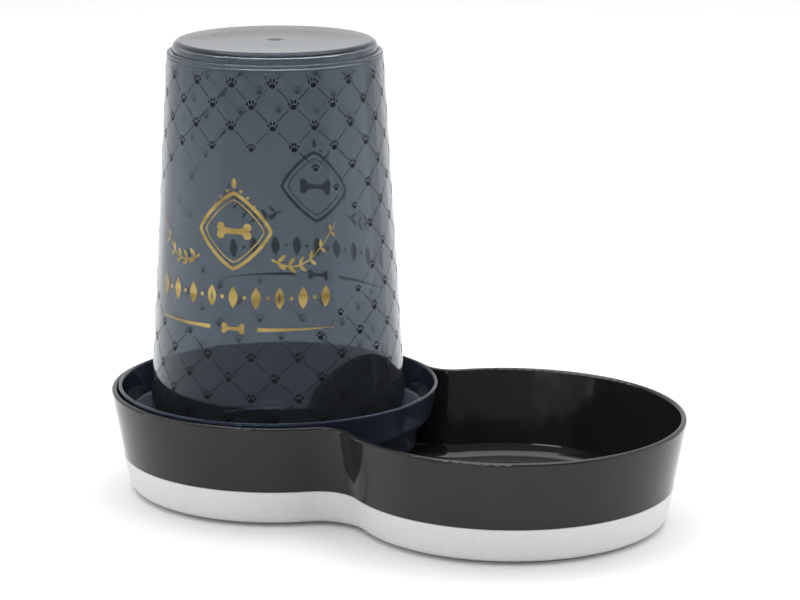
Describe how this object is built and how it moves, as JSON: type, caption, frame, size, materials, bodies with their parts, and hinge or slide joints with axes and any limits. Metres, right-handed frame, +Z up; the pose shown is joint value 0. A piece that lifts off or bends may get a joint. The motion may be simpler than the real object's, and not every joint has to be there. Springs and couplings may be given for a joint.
{
  "type": "pet feeder",
  "caption": "Gravity pet feeder: see-through tapered reservoir, twist-locked mouth down in a collar dish that lifts off a double-lobed bowl on a low shell with rubber feet.",
  "frame": {"origin": "on the floor under the middle of the whole object", "axes": "+X from the reservoir towards the eating lobe, +Z up, XZ is the mirror plane of the outside"},
  "size_m": [0.2914, 0.1692, 0.2226],
  "materials": {
    "shell_plastic": "satin light-grey moulding",
    "bowl_plastic": "polished black moulding",
    "foot_rubber": "fine matt rubber",
    "collar_plastic": "polished, tinted and see-through",
    "seal_silicone": "smoky silicone",
    "gate_plastic": "fine spark-eroded moulding",
    "pivot_plastic": "smooth moulding",
    "reservoir_plastic": "polished, smoky and see-through"
  },
  "bodies": {
    "base": {"base_shell": "shell_plastic", "bowl": "bowl_plastic", "foot_1": "foot_rubber", "foot_2": "foot_rubber", "foot_3": "foot_rubber", "foot_4": "foot_rubber", "foot_5": "foot_rubber", "foot_6": "foot_rubber"},
    "collar": {"collar_dish": "collar_plastic", "mouth_seal": "seal_silicone", "gate_pivot": "pivot_plastic"},
    "container": {"reservoir": "reservoir_plastic", "flow_gate": "gate_plastic"}
  },
  "joints": [
    {"name": "unit_lift", "type": "slide", "parent": "base", "child": "collar", "axis": [0, 0, 1], "range_m": [0, 0.08]},
    {"name": "reservoir_twist", "type": "hinge", "parent": "collar", "child": "container", "pos_m": [-0.06345, 0, 0.04], "axis": [0, 0, 1], "range_deg": [0, 65]}
  ]
}
